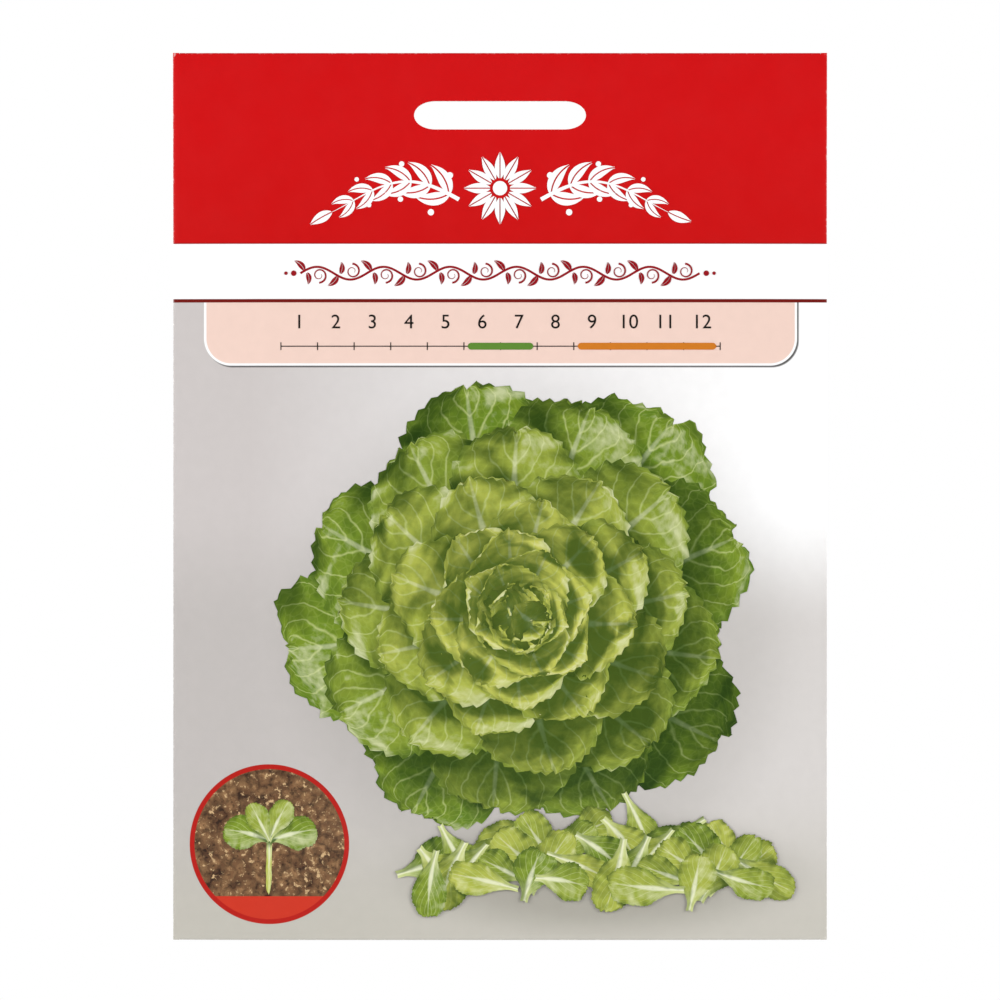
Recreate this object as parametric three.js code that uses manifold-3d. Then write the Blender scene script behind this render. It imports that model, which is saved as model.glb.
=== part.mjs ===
// A paper seed packet that hangs from a display peg.
//
// One printed paper blank is folded and glued into a flat packet: a front panel, a back panel hinged
// on its left edge, a seam flap on its right edge, and a top and a bottom flap folded over the back.
// A hang slot is punched through every layer of the header. Inside lies a heat-sealed sachet made of
// two webs of foil, and chicory seeds lie loose in the sachet.
//
// Millimetres. +Z is up, -Y is the front and +X is to the right of someone who faces the front.
// The origin is the middle of the hang slot's upper edge, where a peg carries the packet.

import * as THREE from "three";
import { mergeVertices } from "three/addons/utils/BufferGeometryUtils.js";
import Module from "manifold-3d";

const wasm = await Module();
wasm.setup();

// ---- Driving dimensions ----

const PACKET_WIDTH = 118;
const PACKET_HEIGHT = 160;
const PAPER = 0.1; // coated paper of about 100 g/m2
const LAYER_PITCH = 0.2; // from one glued layer's middle to the next: the paper and its adhesive

const SLOT_LENGTH = 31;
const SLOT_HEIGHT = 5.1;
const SLOT_END = 3.8; // length of each rounded end, which is half an ellipse
const SLOT_DROP = 8.7; // from the packet's top edge down to the slot's upper edge

const SEAM_FLAP_WIDTH = 12;
const TOP_FLAP_HEIGHT = 24;
const BOTTOM_FLAP_HEIGHT = 12;
const FLAP_INSET = 1.2; // how far a flap's fold stops short of the packet's sides
const FLAP_TAPER = 2.4; // how much further in its free edge is

const SACHET_WIDTH = 86;
const SACHET_HEIGHT = 103;
const SACHET_SEAL = 5; // width of the heat-sealed margin
const FOIL = 0.06;
const FOIL_PITCH = 0.08;

const SEED_COUNT = 44;
const SEED_LENGTH = 2.6;
const SEED_RADIUS = 0.6;

// ---- Places worked out from them ----

const TOP = SLOT_DROP;
const BOTTOM = TOP - PACKET_HEIGHT;
const SIDE = PACKET_WIDTH / 2 - PAPER / 2; // the middle of the paper at its side folds

// The four layers of the header, from front to back, by the middle of each sheet.
const FRONT_Y = -1.5 * LAYER_PITCH;
const SEAM_Y = -0.5 * LAYER_PITCH;
const BACK_Y = 0.5 * LAYER_PITCH;
const FLAP_Y = 1.5 * LAYER_PITCH;

// Where the contents push the packet out of flat, and by how much at the fullest point.
const PACKET_FILL = { halfWidth: 46, top: -28, bottom: BOTTOM + BOTTOM_FLAP_HEIGHT };
const FRONT_SWELL = 1.9;
const BACK_SWELL = 1.5;

const SACHET_BOTTOM = BOTTOM + 13.5;
const SACHET_TOP = SACHET_BOTTOM + SACHET_HEIGHT;
const SACHET_Y = (FRONT_Y + BACK_Y) / 2;
const SACHET_FILL = {
  halfWidth: SACHET_WIDTH / 2 - SACHET_SEAL,
  top: SACHET_TOP - SACHET_SEAL,
  bottom: SACHET_BOTTOM + SACHET_SEAL,
};
const SACHET_FRONT_SWELL = 1.6;
const SACHET_BACK_SWELL = 1.2;

// ---- Finishes ----

const finish = (color, roughness, metalness = 0) =>
  new THREE.MeshStandardMaterial({ color, roughness, metalness });
const printedPaper = finish(0xd9d2cf, 0.4);
const driedGlue = finish(0xe9e2cc, 0.5);
const foilLaminate = finish(0xc9ccd0, 0.3, 0.8);
const seedHusk = finish(0xb08d5c, 0.8);

// ---- Sheets ----

const spread = (from, to, steps) =>
  Array.from({ length: steps + 1 }, (_, i) => THREE.MathUtils.lerp(from, to, i / steps));

// A closed sheet of even thickness. middle[row][column] holds the points of its middle surface, and
// isSheet(row, column) tells whether the cell that starts at that point is sheet or empty.
function thickSheet(middle, thickness, isSheet = () => true) {
  const rows = middle.length;
  const columns = middle[0].length;
  const cell = (r, c) => r >= 0 && c >= 0 && r + 1 < rows && c + 1 < columns && isSheet(r, c);
  const joinedAlong = (r, c) => cell(r, c) || cell(r - 1, c);
  const joinedUp = (r, c) => cell(r, c) || cell(r, c - 1);
  const face = (side) =>
    middle.map((row, r) =>
      row.map((point, c) => {
        const along = row[joinedAlong(r, c) ? c + 1 : c].clone().sub(row[joinedAlong(r, c - 1) ? c - 1 : c]);
        const above = middle[joinedUp(r, c) ? r + 1 : r][c];
        const below = middle[joinedUp(r - 1, c) ? r - 1 : r][c];
        const out = along.cross(above.clone().sub(below)).setLength((side * thickness) / 2);
        return out.add(point);
      }),
    );
  const [outer, inner] = [face(1), face(-1)];

  const positions = [];
  const quad = (p, q, s, t) => [p, q, s, p, s, t].forEach((v) => positions.push(v.x, v.y, v.z));
  const wall = (r0, c0, r1, c1) => quad(inner[r0][c0], inner[r1][c1], outer[r1][c1], outer[r0][c0]);
  for (let r = 0; r + 1 < rows; r++) {
    for (let c = 0; c + 1 < columns; c++) {
      if (!cell(r, c)) continue;
      quad(outer[r][c], outer[r][c + 1], outer[r + 1][c + 1], outer[r + 1][c]);
      quad(inner[r][c], inner[r + 1][c], inner[r + 1][c + 1], inner[r][c + 1]);
      if (!cell(r - 1, c)) wall(r, c, r, c + 1);
      if (!cell(r, c + 1)) wall(r, c + 1, r + 1, c + 1);
      if (!cell(r + 1, c)) wall(r + 1, c + 1, r + 1, c);
      if (!cell(r, c - 1)) wall(r + 1, c, r, c);
    }
  }
  const geometry = new THREE.BufferGeometry();
  geometry.setAttribute("position", new THREE.Float32BufferAttribute(positions, 3));
  return mergeVertices(geometry);
}

// How full the contents make a pouch at x, z, from 0 at its margins to 1 at its fullest point. The
// seed settles, so that point lies low.
function fullness(x, z, fill) {
  const across = Math.min(1, Math.abs(x) / fill.halfWidth);
  const down = THREE.MathUtils.clamp((fill.top - z) / (fill.top - fill.bottom), 0, 1);
  const settled = (d) => d ** 2 * (1 - d ** 10) ** 2;
  const FULLEST_DOWN = 0.81;
  return ((1 - across ** 4) ** 2 * settled(down)) / settled(FULLEST_DOWN);
}

// ---- The paper blank ----

// Half a turn of paper about a fold, without its two ends, as [u, v] pairs round [centreU, centreV].
function foldArc(centreU, centreV, radius, fromAngle, toAngle, steps) {
  return spread(fromAngle, toAngle, steps)
    .slice(1, -1)
    .map((angle) => [centreU + radius * Math.cos(angle), centreV + radius * Math.sin(angle)]);
}

const QUARTER = Math.PI / 2;
const FILL_STEPS = 14;
const flapFoldRadius = FLAP_Y;
const flapFoldInset = PAPER / 2 + flapFoldRadius; // from the packet's top or bottom edge to the fold's start

// The packet's panels, cut across at height z: the seam flap from its free edge, the front panel with
// a fold at each side, and the back panel to its free edge. Each part is a list of [x, y] pairs.
function panelsAt(z) {
  const BACK_PANEL_SHORT = 0.4; // how far the back panel stops short of the right fold
  const seamRadius = LAYER_PITCH / 2;
  const hingeRadius = LAYER_PITCH;
  const rightEdge = SIDE - seamRadius;
  const leftEdge = -(SIDE - hingeRadius);
  const flapHalf = SIDE - FLAP_INSET;
  const filled = spread(PACKET_FILL.halfWidth, -PACKET_FILL.halfWidth, FILL_STEPS);
  const bulge = (x) => fullness(x, z, PACKET_FILL);
  return {
    seamFlap: [
      [SIDE - SEAM_FLAP_WIDTH, SEAM_Y],
      [rightEdge, SEAM_Y],
      ...foldArc(rightEdge, (FRONT_Y + SEAM_Y) / 2, seamRadius, QUARTER, -QUARTER, 4),
      [rightEdge, FRONT_Y],
    ],
    front: [flapHalf, ...filled, -flapHalf].map((x) => [x, FRONT_Y - FRONT_SWELL * bulge(x)]),
    back: [
      [leftEdge, FRONT_Y],
      ...foldArc(leftEdge, (FRONT_Y + BACK_Y) / 2, hingeRadius, -QUARTER, -3 * QUARTER, 5),
      [leftEdge, BACK_Y],
      ...filled.toReversed().map((x) => [x, BACK_Y + BACK_SWELL * bulge(x)]),
      [SIDE - BACK_PANEL_SHORT, BACK_Y],
    ],
  };
}

// Rows of a flap that grows out of the front panel's top edge (direction 1) or bottom edge (-1) and
// is folded over the back, as { y, z, width }, where width scales the panel's own.
function flapRows(edge, direction, height) {
  const foldZ = edge - direction * flapFoldInset;
  const fold = foldArc(0, 0, flapFoldRadius, Math.PI, 0, 6);
  return [
    ...fold.map(([y, rise]) => ({ y, z: foldZ + direction * rise, width: 1 })),
    { y: FLAP_Y, z: foldZ, width: 1 },
    { y: FLAP_Y, z: edge - direction * height, width: 1 - FLAP_TAPER / SIDE },
  ];
}

// The whole blank: the flaps are only as wide as the front panel's own columns.
function foldedBlank() {
  const { seamFlap, front, back } = panelsAt(TOP);
  const columns = [...seamFlap, ...front, ...back];
  const flap = (rows) =>
    rows.map(({ y, z, width }) => columns.map(([x]) => new THREE.Vector3(x * width, y, z)));
  const heights = [
    BOTTOM + flapFoldInset,
    ...spread(PACKET_FILL.bottom, PACKET_FILL.top, FILL_STEPS),
    TOP - flapFoldInset,
  ];
  const body = heights.map((z) => {
    const panels = panelsAt(z);
    return [...panels.seamFlap, ...panels.front, ...panels.back].map(([x, y]) => new THREE.Vector3(x, y, z));
  });
  const below = flap(flapRows(BOTTOM, -1, BOTTOM_FLAP_HEIGHT)).toReversed();
  const above = flap(flapRows(TOP, 1, TOP_FLAP_HEIGHT));
  const isSheet = (r, c) => {
    const inBody = r >= below.length && r < below.length + body.length - 1;
    const inFront = c >= seamFlap.length && c < seamFlap.length + front.length - 1;
    return inBody || inFront;
  };
  return thickSheet([...below, ...body, ...above], PAPER, isSheet);
}

// The punch for the hang slot: flat above and below, with half an ellipse at each end.
function slotPunch() {
  const END_STEPS = 8;
  const middleZ = -SLOT_HEIGHT / 2;
  const endX = SLOT_LENGTH / 2 - SLOT_END;
  const half = Math.PI / 2;
  const ring = new THREE.Shape();
  ring.absellipse(endX, middleZ, SLOT_END, SLOT_HEIGHT / 2, -half, half);
  ring.absellipse(-endX, middleZ, SLOT_END, SLOT_HEIGHT / 2, half, 3 * half);
  ring.closePath();
  const DEPTH = 4;
  const punch = new THREE.ExtrudeGeometry(ring, { depth: DEPTH, bevelEnabled: false, curveSegments: END_STEPS });
  return punch.rotateX(Math.PI / 2).translate(0, DEPTH / 2, 0);
}

// ---- Joining and cutting ----

function toSolid(geometry) {
  const bare = geometry.clone();
  bare.deleteAttribute("normal");
  bare.deleteAttribute("uv");
  const merged = mergeVertices(bare);
  return new wasm.Manifold(
    new wasm.Mesh({
      numProp: 3,
      vertProperties: merged.attributes.position.array,
      triVerts: new Uint32Array(merged.index.array),
    }),
  );
}

function toGeometry(solid) {
  const mesh = solid.getMesh();
  const geometry = new THREE.BufferGeometry();
  geometry.setAttribute("position", new THREE.BufferAttribute(mesh.vertProperties, mesh.numProp));
  return geometry.setIndex(new THREE.BufferAttribute(mesh.triVerts, 1));
}

const punchedBlank = () => toGeometry(toSolid(foldedBlank()).subtract(toSolid(slotPunch())));

// ---- Adhesive strips, each thinner than the gap it lies in ----

function glueStrip(x, y, z) {
  const GLUE = 0.03;
  const strip = new THREE.BoxGeometry(x[1] - x[0], GLUE, z[1] - z[0]);
  return strip.translate((x[0] + x[1]) / 2, y, (z[0] + z[1]) / 2);
}

const seamGlue = () => glueStrip([SIDE - 10, SIDE - 2], (SEAM_Y + BACK_Y) / 2, [BOTTOM + 4, TOP - 4]);
const topFlapGlue = () => glueStrip([-53, 53], (BACK_Y + FLAP_Y) / 2, [TOP - 22.5, TOP - 16.5]);
const bottomFlapGlue = () => glueStrip([-53, 53], (BACK_Y + FLAP_Y) / 2, [BOTTOM + 2.5, BOTTOM + 9.5]);

// ---- The sachet ----

const sachetFrontY = (x, z) => SACHET_Y - FOIL_PITCH / 2 - SACHET_FRONT_SWELL * fullness(x, z, SACHET_FILL);
const sachetBackY = (x, z) => SACHET_Y + FOIL_PITCH / 2 + SACHET_BACK_SWELL * fullness(x, z, SACHET_FILL);

function foilWeb(heightAt) {
  const STEPS = 14;
  const { halfWidth, top, bottom } = SACHET_FILL;
  const columns = [-SACHET_WIDTH / 2, ...spread(-halfWidth, halfWidth, STEPS), SACHET_WIDTH / 2];
  const rows = [SACHET_BOTTOM, ...spread(bottom, top, STEPS), SACHET_TOP];
  const middle = rows.map((z) => columns.map((x) => new THREE.Vector3(x, heightAt(x, z), z)));
  return thickSheet(middle, FOIL);
}

// ---- The seeds ----

// A five-angled achene: narrow at its foot, blunt at its head, with a low ring where the pappus sat.
function seedShape() {
  const ANGLES = 5;
  const profile = [
    [0, 0],
    [0.45, 0],
    [0.8, 0.35],
    [1, 0.8],
    [0.75, 0.92],
    [0.8, 1],
    [0, 1],
  ].map(([out, along]) => new THREE.Vector2(out * SEED_RADIUS, (along - 0.5) * SEED_LENGTH));
  return new THREE.LatheGeometry(profile, ANGLES).rotateX(Math.PI / 2);
}

// Places for the seeds, from the bottom of the sachet up, wherever it is deep enough to hold one.
function seedPlaces() {
  const PITCH = SEED_LENGTH + 0.45;
  const ROW_PITCH = PITCH * Math.sin(Math.PI / 3);
  const DEPTH_NEEDED = 2 * SEED_RADIUS + 0.45;
  const places = [];
  for (let row = 0; places.length < SEED_COUNT; row++) {
    const z = SACHET_FILL.bottom + row * ROW_PITCH;
    const shift = row % 2 ? PITCH / 2 : 0;
    for (let x = shift - 10 * PITCH; x <= SACHET_FILL.halfWidth; x += PITCH) {
      const deep = sachetBackY(x, z) - sachetFrontY(x, z) - FOIL;
      if (deep > DEPTH_NEEDED && places.length < SEED_COUNT) {
        places.push(new THREE.Vector3(x, (sachetBackY(x, z) + sachetFrontY(x, z)) / 2, z));
      }
    }
  }
  return places;
}

// A repeatable number from 0 to 1 for the seed of that index and a trait of it.
const chance = (index, trait) =>
  THREE.MathUtils.euclideanModulo(Math.sin(index * 12.9898 + trait * 78.233) * 43758.5453, 1);

// ---- Assembly ----

const packet = new THREE.Group();

function addPiece(name, geometry, material, parent = packet) {
  const piece = new THREE.Mesh(geometry, material);
  piece.name = name;
  parent.add(piece);
  return piece;
}

addPiece("packet_sheet", punchedBlank(), printedPaper);
addPiece("seam_glue", seamGlue(), driedGlue);
addPiece("top_flap_glue", topFlapGlue(), driedGlue);
addPiece("bottom_flap_glue", bottomFlapGlue(), driedGlue);
addPiece("sachet_front_foil", foilWeb(sachetFrontY), foilLaminate);
addPiece("sachet_back_foil", foilWeb(sachetBackY), foilLaminate);

const seeds = new THREE.Group();
packet.add(seeds);
seedPlaces().forEach((place, i) => {
  const number = String(i + 1).padStart(2, "0");
  const seed = addPiece(`seed_${number}`, seedShape(), seedHusk, seeds);
  seed.position.copy(place);
  seed.rotation.y = chance(i, 1) * 2 * Math.PI;
  seed.scale.setScalar(0.88 + 0.12 * chance(i, 2));
});

export default packet;
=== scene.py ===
# A paper seed packet that hangs from a display peg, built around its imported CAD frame. The paper, the
# adhesive and the foil sachet are remade here in finer meshes. The print is ink in the paper's own
# material, with leaves, sprigs, numbers and bars as films of ink on it. Lengths are in millimetres
# until a piece is finished.

from math import atan2, copysign, cos, exp, pi, radians, sin, sqrt

import bmesh
import bpy
from mathutils import Matrix, Vector, noise
from mathutils.bvhtree import BVHTree


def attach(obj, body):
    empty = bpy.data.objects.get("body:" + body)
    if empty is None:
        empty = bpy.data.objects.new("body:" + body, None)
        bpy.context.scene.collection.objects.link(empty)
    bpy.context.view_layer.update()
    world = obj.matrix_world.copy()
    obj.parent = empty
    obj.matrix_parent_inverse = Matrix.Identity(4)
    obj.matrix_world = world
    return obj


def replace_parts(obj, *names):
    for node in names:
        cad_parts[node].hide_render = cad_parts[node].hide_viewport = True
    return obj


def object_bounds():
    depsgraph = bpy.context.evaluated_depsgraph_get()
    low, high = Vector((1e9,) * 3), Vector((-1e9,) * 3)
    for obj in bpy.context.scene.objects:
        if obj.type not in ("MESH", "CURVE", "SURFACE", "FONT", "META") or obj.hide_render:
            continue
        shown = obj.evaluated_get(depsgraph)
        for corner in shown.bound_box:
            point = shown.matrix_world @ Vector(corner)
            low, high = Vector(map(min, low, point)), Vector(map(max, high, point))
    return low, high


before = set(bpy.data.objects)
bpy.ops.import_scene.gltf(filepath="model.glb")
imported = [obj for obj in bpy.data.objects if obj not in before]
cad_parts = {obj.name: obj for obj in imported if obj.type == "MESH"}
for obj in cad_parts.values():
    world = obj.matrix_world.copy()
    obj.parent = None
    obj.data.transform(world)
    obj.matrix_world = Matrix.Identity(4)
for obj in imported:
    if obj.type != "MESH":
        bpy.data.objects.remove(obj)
cad_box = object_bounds()

# ---- Camera ----
# A long lens looks square on at the packet's front, so its outline stays a true rectangle. It
# stands far enough back to leave a pale margin all round the packet.

MM = 0.001
TOP, BOTTOM = cad_box[1].z / MM, cad_box[0].z / MM
MIDDLE = (TOP + BOTTOM) / 2
VIEW_WIDTH = 180.4  # what the view takes in, at the packet's front
VIEW_DROP = 0.63  # from the packet's middle down to the view's
LENS = 200

scene = bpy.context.scene
scene.view_settings.view_transform = "Standard"


def set_out(name, data):
    """Puts a new object with this data into the scene."""
    made = bpy.data.objects.new(name, data)
    scene.collection.objects.link(made)
    return made


camera = set_out("camera", bpy.data.cameras.new("camera"))
camera.data.lens = LENS
away = VIEW_WIDTH * LENS / camera.data.sensor_width
camera.location = (0, -away * MM, (MIDDLE - VIEW_DROP) * MM)
camera.rotation_euler = (pi / 2, 0, 0)
scene.camera = camera

# ---- Studio ----
# Broad soft panels stand to each side, in front and behind, so that the silk surface shows no glare.
# A pale disc of floor lies well below the hanging packet, under a white surround.

SURROUND = 1.0  # how bright the surround looks
SURROUND_LIGHT = 0.33  # what it adds to the light on the packet
SURROUND_GLOSS = 0.08  # what the silk surface mirrors of it: the dark side of the studio
LIGHT_DISTANCE, LIGHT_SIZE = 1.1, 0.6  # in metres
SOFT_PANELS = (  # direction from the packet, and watts
    ("left_panel", (-1.0, -0.62, 0.3), 9.0),
    ("right_panel", (1.0, -0.62, 0.3), 8.1),
    ("back_left_panel", (-0.9, 0.9, 0.4), 7.0),
    ("back_right_panel", (1.0, 0.7, 0.4), 6.2),
)
FLOOR_RADIUS, FLOOR_DROP = 360, 45


def linear(colour):
    """The linear RGBA of an sRGB hex value."""
    channels = [int(colour[i : i + 2], 16) / 255 for i in (0, 2, 4)]
    return [c / 12.92 if c <= 0.04045 else ((c + 0.055) / 1.055) ** 2.4 for c in channels] + [1.0]


def add(tree, kind, inputs=(), out=0, **named):
    """Adds a node and returns one of its outputs. inputs is a run of its first inputs, or a dict of
    them, each a value or a link. Any other name given is an input's or a setting's."""
    made = tree.nodes.new("ShaderNode" + kind)
    given = dict(inputs if isinstance(inputs, dict) else enumerate(inputs))
    for name, value in named.items():
        if name in made.inputs:
            given[name] = value
        else:
            setattr(made, name, value)
    for key, value in given.items():
        if isinstance(value, bpy.types.NodeSocket):
            tree.links.new(value, made.inputs[key])
        else:
            made.inputs[key].default_value = value
    return made.outputs[out] if len(made.outputs) else made


def make_material(name, surface, *details):
    """A material whose shader has the inputs that surface(tree, *details) gives."""
    material = bpy.data.materials.new(name)
    material.use_nodes = True
    tree = material.node_tree
    tree.nodes.clear()
    add(tree, "OutputMaterial", (add(tree, "BsdfPrincipled", surface(tree, *details)),))
    return material


def place_on_packet(tree):
    """The spot on the packet, in millimetres, so that a pattern's scale is its spots per mm."""
    spot = add(tree, "TexCoord", out="Object")
    return add(tree, "VectorMath", (spot, (1 / MM,) * 3), operation="MULTIPLY")


world = bpy.data.worlds.new("white_surround")
world.use_nodes = True
scene.world = world
tree = world.node_tree
tree.nodes.clear()
seen, mirrored = (add(tree, "LightPath", out=ray) for ray in ("Is Camera Ray", "Is Glossy Ray"))
unseen = add(tree, "MapRange", (mirrored, 0, 1, SURROUND_LIGHT, SURROUND_GLOSS))
strength = add(tree, "MapRange", (seen, 0, 1, unseen, SURROUND))
add(tree, "OutputWorld", (add(tree, "Background", ((1, 1, 1, 1), strength)),))

for name, direction, watts in SOFT_PANELS:
    light = bpy.data.lights.new(name, "AREA")
    light.size = LIGHT_SIZE
    light.energy = watts
    panel = set_out(name, light)
    middle = Vector((0, 0, MIDDLE * MM))
    panel.location = middle + Vector(direction).normalized() * LIGHT_DISTANCE
    panel.rotation_euler = (middle - panel.location).to_track_quat("-Z", "Y").to_euler()


# Matt white board: an even, soft ground with no gleam of its own.
def matt_board(tree):
    grain = add(tree, "TexNoise", Vector=place_on_packet(tree), Scale=0.06, Detail=4)
    return {"Base Color": linear("F5F5F6"), "Roughness": add(tree, "MapRange", (grain, 0, 1, 0.86, 0.9))}


board = bmesh.new()
level = Matrix.Translation((0, 0, (BOTTOM - FLOOR_DROP) * MM))
bmesh.ops.create_circle(board, cap_ends=True, segments=128, radius=FLOOR_RADIUS * MM, matrix=level)
floor = set_out("floor", bpy.data.meshes.new("floor"))
board.to_mesh(floor.data)
floor.data.materials.append(make_material("matt_white_board", matt_board))

# ---- Packet paper ----
# One blank of silk-coated paper, printed on its outside, folded and glued into a flat packet. The
# slot for the peg is punched through the front, the back panel and the top flap at once.
# The contents swell its lower part, and the sachet and the seed show faintly through it.

PAPER = 0.1
LAYER = 0.2  # from one layer's middle to the next
SIDE = cad_box[1].x / MM - PAPER / 2
SLOT_HALF, SLOT_HEIGHT, SLOT_END = 15.5, 5.1, 3.8
SEAM_FLAP, TOP_FLAP, BOTTOM_FLAP = 12, 24, 12
FLAP_INSET, FLAP_TAPER = 1.2, 2.4
FILL = (46, -28, BOTTOM + BOTTOM_FLAP)  # half its width, its top and its bottom
FULLEST = 0.81  # about how far down the fill is at its thickest, as a share of its height
FRONT_SWELL, BACK_SWELL = 1.9, 1.5
SACHET_HALF, SACHET_TOP, SACHET_BOTTOM = 43, BOTTOM + 116.5, BOTTOM + 13.5


def fullness(x, z, fill=FILL):
    """How far the contents push a pouch out at x, z: 0 at its margins, 1 at its fullest point."""

    def settled(down):
        return down**2 * (1 - down**10) ** 2

    half, top, bottom = fill
    across = min(1, abs(x) / half)
    down = min(1, max(0, (top - z) / (top - bottom)))
    return (1 - across**4) ** 2 * settled(down) / settled(FULLEST)


def bend(x, z):
    """The slight curl of the whole packet, which every layer shares."""
    curl = 0.28 * sin(z / 41 + 0.6) * (x / SIDE) + 0.22 * (x / SIDE) ** 2 + 0.7 * (x / SIDE) ** 6
    return curl * min(1, max(0, (TOP - 2 - z) / 30))


def crumple(x, z, variant):
    """Soft waves, seed bumps and the sachet's outline in the paper, fading out at the flat margins."""
    margin = min(1, max(0, (55 - abs(x)) / 14)) * min(1, max(0, (-26 - z) / 14))
    margin *= min(1, max(0, (z - BOTTOM - 5) / 12))
    waves = 0.26 * (0.5 + noise.noise(Vector((x / 24, z / 34, variant))))
    waves += 0.07 * (0.5 + noise.noise(Vector((x / 9, z / 13, variant + 4))))
    seed_bumps = 0.1 * fullness(x, z) ** 2 * noise.noise(Vector((x / 3.2, z / 3.2, variant + 9)))
    outline = max(abs(x) - SACHET_HALF, z - SACHET_TOP, SACHET_BOTTOM - z)
    return margin * (waves + seed_bumps + 0.1 * exp(-((outline / 1.8) ** 2)))


# Where the printed face of each layer lies, from front to back.
def front_y(x, z):
    return bend(x, z) - 1.5 * LAYER - PAPER / 2 - FRONT_SWELL * fullness(x, z) - crumple(x, z, 2)


def seam_flap_y(x, z):
    return bend(x, z) - 0.5 * LAYER + PAPER / 2


def back_y(x, z):
    return bend(x, z) + 0.5 * LAYER + PAPER / 2 + BACK_SWELL * fullness(x, z) + crumple(x, z, 21)


def flap_y(x, z):
    return bend(x, z) + 1.5 * LAYER + PAPER / 2


def stations(start, stop, pitch, extra=()):
    """Numbers from start to stop in steps of pitch, with the extra ones in their order."""
    steps = round((stop - start) / pitch)
    values = [start + i * (stop - start) / steps for i in range(steps + 1)]
    return sorted(set(values) | set(extra), reverse=start > stop)


seam_radius, hinge_radius, flap_radius = LAYER / 2 + PAPER / 2, LAYER + PAPER / 2, 1.5 * LAYER + PAPER / 2
right_edge, left_edge = SIDE + PAPER / 2 - seam_radius, -(SIDE + PAPER / 2 - hinge_radius)
flap_half = SIDE - FLAP_INSET
beside_flap = flap_half + 0.1
low_fold, high_fold = BOTTOM + flap_radius, TOP - flap_radius
side_folds = {"seam_fold": (right_edge, LAYER, seam_radius), "hinge": (left_edge, LAYER / 2, hinge_radius)}
surfaces = {"seam": seam_flap_y, "front": front_y, "back": back_y, "high_flap": flap_y}
fold_angles = [pi * i / 6 for i in range(1, 6)]
corners = (right_edge, beside_flap, flap_half, -flap_half, -beside_flap, left_edge)
back_ends = (left_edge, -beside_flap, beside_flap, SIDE - 0.4)
columns = [("seam", x) for x in (SIDE - SEAM_FLAP, 50, 53, 56, right_edge)]
columns += [("seam_fold", pi / 2 - a) for a in fold_angles]
columns += [("front", x) for x in stations(57, -57, -1, corners)]
columns += [("hinge", -pi / 2 - a) for a in fold_angles]
columns += [("back", x) for x in stations(-57, 57, 1.5, back_ends)]
rows = [("low_flap", z) for z in stations(BOTTOM + BOTTOM_FLAP, low_fold, -1.2)]
rows += [("low_fold", -a) for a in reversed(fold_angles)]
rows += [("body", z) for z in stations(-150, 8, 1, (low_fold, high_fold))]
rows += [("high_fold", a) for a in fold_angles]
rows += [("high_flap", z) for z in stations(8, -15, -1, (high_fold, TOP - TOP_FLAP))]


def folded(column, row):
    """Where a point of the flat blank lies once the packet is folded."""
    (part, across), (place, along) = column, row
    edge = high_fold if place.startswith("high") else low_fold
    if place.endswith("fold"):
        z = edge + flap_radius * sin(along)
        return across, bend(across, z) - flap_radius * cos(along), z
    if place.endswith("flap"):
        x = across * (1 - FLAP_TAPER / SIDE * abs(along - edge) / TOP_FLAP)
        return x, flap_y(x, along), along
    z = along
    if part in side_folds or part != "seam" and abs(across) >= beside_flap:
        z = {high_fold: TOP, low_fold: BOTTOM}.get(along, along)
    if part in side_folds:
        edge, depth, radius = side_folds[part]
        x = edge + radius * cos(across)
        return x, bend(x, z) - depth + radius * sin(across), z
    return across, surfaces[part](across, z), z


blank = bmesh.new()
bmesh.ops.create_grid(blank, x_segments=len(columns) - 1, y_segments=len(rows) - 1, size=1)
grid_place = {}
for v in blank.verts:
    c = round((v.co.x + 1) / 2 * (len(columns) - 1))
    r = round((v.co.y + 1) / 2 * (len(rows) - 1))
    grid_place[v] = (columns[c], rows[r])

FRONT_INK, BACK_INK, FLAP_INK, BARE = range(4)
ROUGH_HALF, ROUGH_FOOT, ROUGH_HEAD = 18, -7, 2  # what is cut out whole before the slot's own edge
off_blank, punched = [], {"front": [], "back": [], "high_flap": []}
for face in blank.faces:
    spots = [grid_place[v] for v in face.verts]
    parts = {column[0] for column, row in spots}
    places = {row[0] for column, row in spots}
    reach = max(abs(column[1]) for column, row in spots)
    in_body = places == {"body"}
    if not in_body and (parts != {"front"} or reach > flap_half + 0.01):
        off_blank.append(face)
        continue
    on_flap = places & {"low_flap", "high_flap"}
    face.material_index = FLAP_INK if on_flap else BACK_INK if parts == {"back"} else FRONT_INK
    panel = "high_flap" if places == {"high_flap"} else parts.pop() if in_body and len(parts) == 1 else None
    by_slot = all(ROUGH_FOOT <= row[1] <= ROUGH_HEAD for column, row in spots)
    if panel in punched and by_slot and reach <= ROUGH_HALF:
        punched[panel].append(face)
for v, (column, row) in grid_place.items():
    v.co = folded(column, row)
bmesh.ops.delete(blank, geom=off_blank, context="FACES")

# The die's edge: from the rough hole, a rim of new faces runs in to the slot's own outline.
slot_rise, end_x = SLOT_HEIGHT / 2, SLOT_HALF - SLOT_END
for panel, faces in punched.items():
    hole = set(faces)
    rim = [e for e in blank.edges if len(hole & set(e.link_faces)) == 1]
    bmesh.ops.delete(blank, geom=faces, context="FACES")
    made = bmesh.ops.extrude_edge_only(blank, edges=rim)["geom"]
    for v in (g for g in made if isinstance(g, bmesh.types.BMVert)):
        x, z = v.co.x, v.co.z + slot_rise
        if abs(x) > end_x:
            angle = atan2(z, abs(x) - end_x)
            x = copysign(end_x + SLOT_END * cos(angle), x)
            z = slot_rise * sin(angle)
        else:
            z = copysign(slot_rise, z)
        v.co = (x, surfaces[panel](x, z - slot_rise), z - slot_rise)
bmesh.ops.recalc_face_normals(blank, faces=blank.faces)
if min(blank.faces, key=lambda f: f.calc_center_median().y).normal.y > 0:
    bmesh.ops.reverse_faces(blank, faces=blank.faces)
blank.normal_update()
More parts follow.
